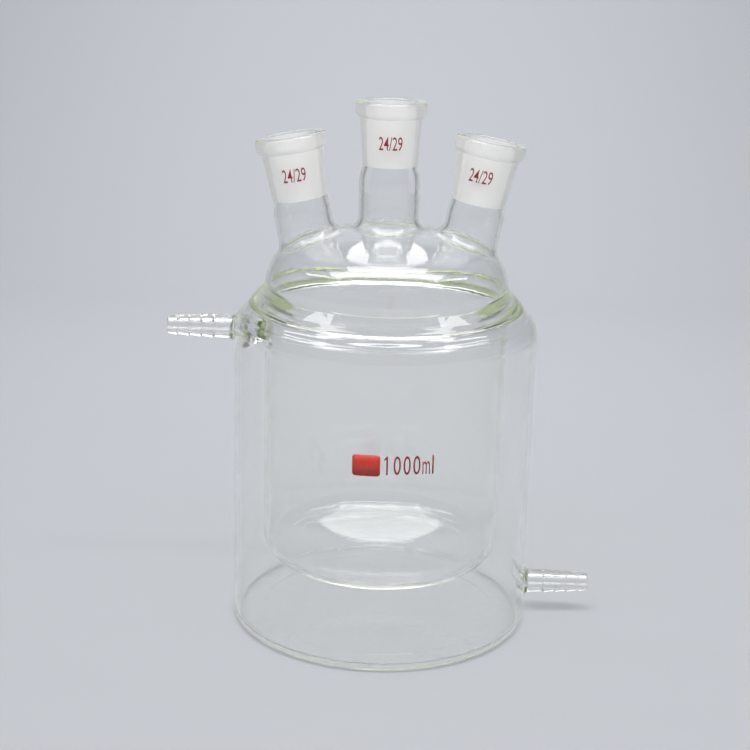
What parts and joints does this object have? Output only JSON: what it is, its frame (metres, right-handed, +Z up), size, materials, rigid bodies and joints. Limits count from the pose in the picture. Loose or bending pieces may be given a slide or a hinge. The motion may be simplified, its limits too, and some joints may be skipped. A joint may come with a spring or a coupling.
{
  "type": "jacketed three neck flask",
  "caption": "Cylindrical glass reaction flask in a water jacket, with ground sockets on its domed top and a hose tail on each side.",
  "frame": {"origin": "centre of the flat foot, on the surface that the flask stands on", "axes": "+Z up along the vessel and its centre neck; X through all the necks and both hose tails, with the low tail at +X; +Y to the back"},
  "size_m": [0.208, 0.144, 0.2528],
  "materials": {
    "glass": "clear fire-polished, with ground sockets"
  },
  "bodies": {
    "root": {"flask": "glass"}
  },
  "joints": []
}
